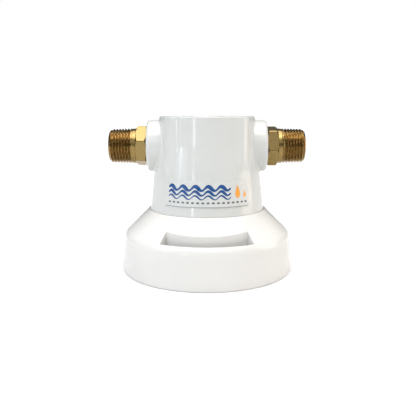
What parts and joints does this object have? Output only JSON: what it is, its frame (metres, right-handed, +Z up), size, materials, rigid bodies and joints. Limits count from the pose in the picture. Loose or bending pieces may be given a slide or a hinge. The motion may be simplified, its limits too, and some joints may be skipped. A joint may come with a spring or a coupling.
{
  "type": "inline water filter",
  "caption": "Compact inline water filter: a moulded head with two opposed brass pipe nipples, screwed into a wide flared base cup with grip slots that holds a carbon element.",
  "frame": {"origin": "centre of the base ring's underside", "axes": "+Z up, +X along the pipe line towards the outlet, -Y towards the label"},
  "size_m": [0.121, 0.1052, 0.096],
  "materials": {
    "white_plastic": "glossy white moulding",
    "brass": "machined, slightly tarnished",
    "ptfe_tape": "soft white tape",
    "black_rubber": "matte",
    "stainless_steel": "plain",
    "acetal": "plain moulding",
    "blue_plastic": "plain moulding",
    "carbon": "porous sintered carbon",
    "fleece": "spun fibre",
    "net": "extruded net",
    "core_plastic": "plain moulding",
    "label_film": "satin sticker"
  },
  "bodies": {
    "base": {"base_cup": "white_plastic", "element_lower_cap": "blue_plastic", "element_upper_cap": "blue_plastic", "carbon_block": "carbon", "prefilter_wrap": "fleece", "outer_net": "net", "core_tube": "core_plastic", "element_gasket": "black_rubber"},
    "main_seal": {"main_o_ring": "black_rubber"},
    "head": {"head": "white_plastic", "label": "label_film", "inlet_nipple": "brass", "outlet_nipple": "brass", "inlet_thread_tape": "ptfe_tape", "outlet_thread_tape": "ptfe_tape", "inlet_screen_rim": "black_rubber", "inlet_screen_mesh": "stainless_steel", "nozzle_o_ring": "black_rubber", "valve_body": "acetal", "valve_o_ring": "black_rubber", "valve_retainer": "acetal", "valve_spring": "stainless_steel"},
    "check_poppet": {"poppet": "blue_plastic", "poppet_seal": "black_rubber"}
  },
  "joints": [
    {"name": "head_lift", "type": "slide", "parent": "base", "child": "main_seal", "axis": [0, 0, 1], "range_m": [0, 0.01126]},
    {"name": "head_turn", "type": "hinge", "parent": "main_seal", "child": "head", "pos_m": [0, 0, 0.0172], "axis": [0, 0, 1], "range_deg": [0, 810]},
    {"name": "check_poppet_slide", "type": "slide", "parent": "head", "child": "check_poppet", "axis": [1, 0, 0], "range_m": [0, 0.0025], "stiffness_N_per_m": 60, "springref_m": -0.001, "deforming": ["valve_spring"]}
  ],
  "couplings": [
    {"joint": "head_lift", "follows": "head_turn", "m_per_rad": 0.00079577}
  ]
}
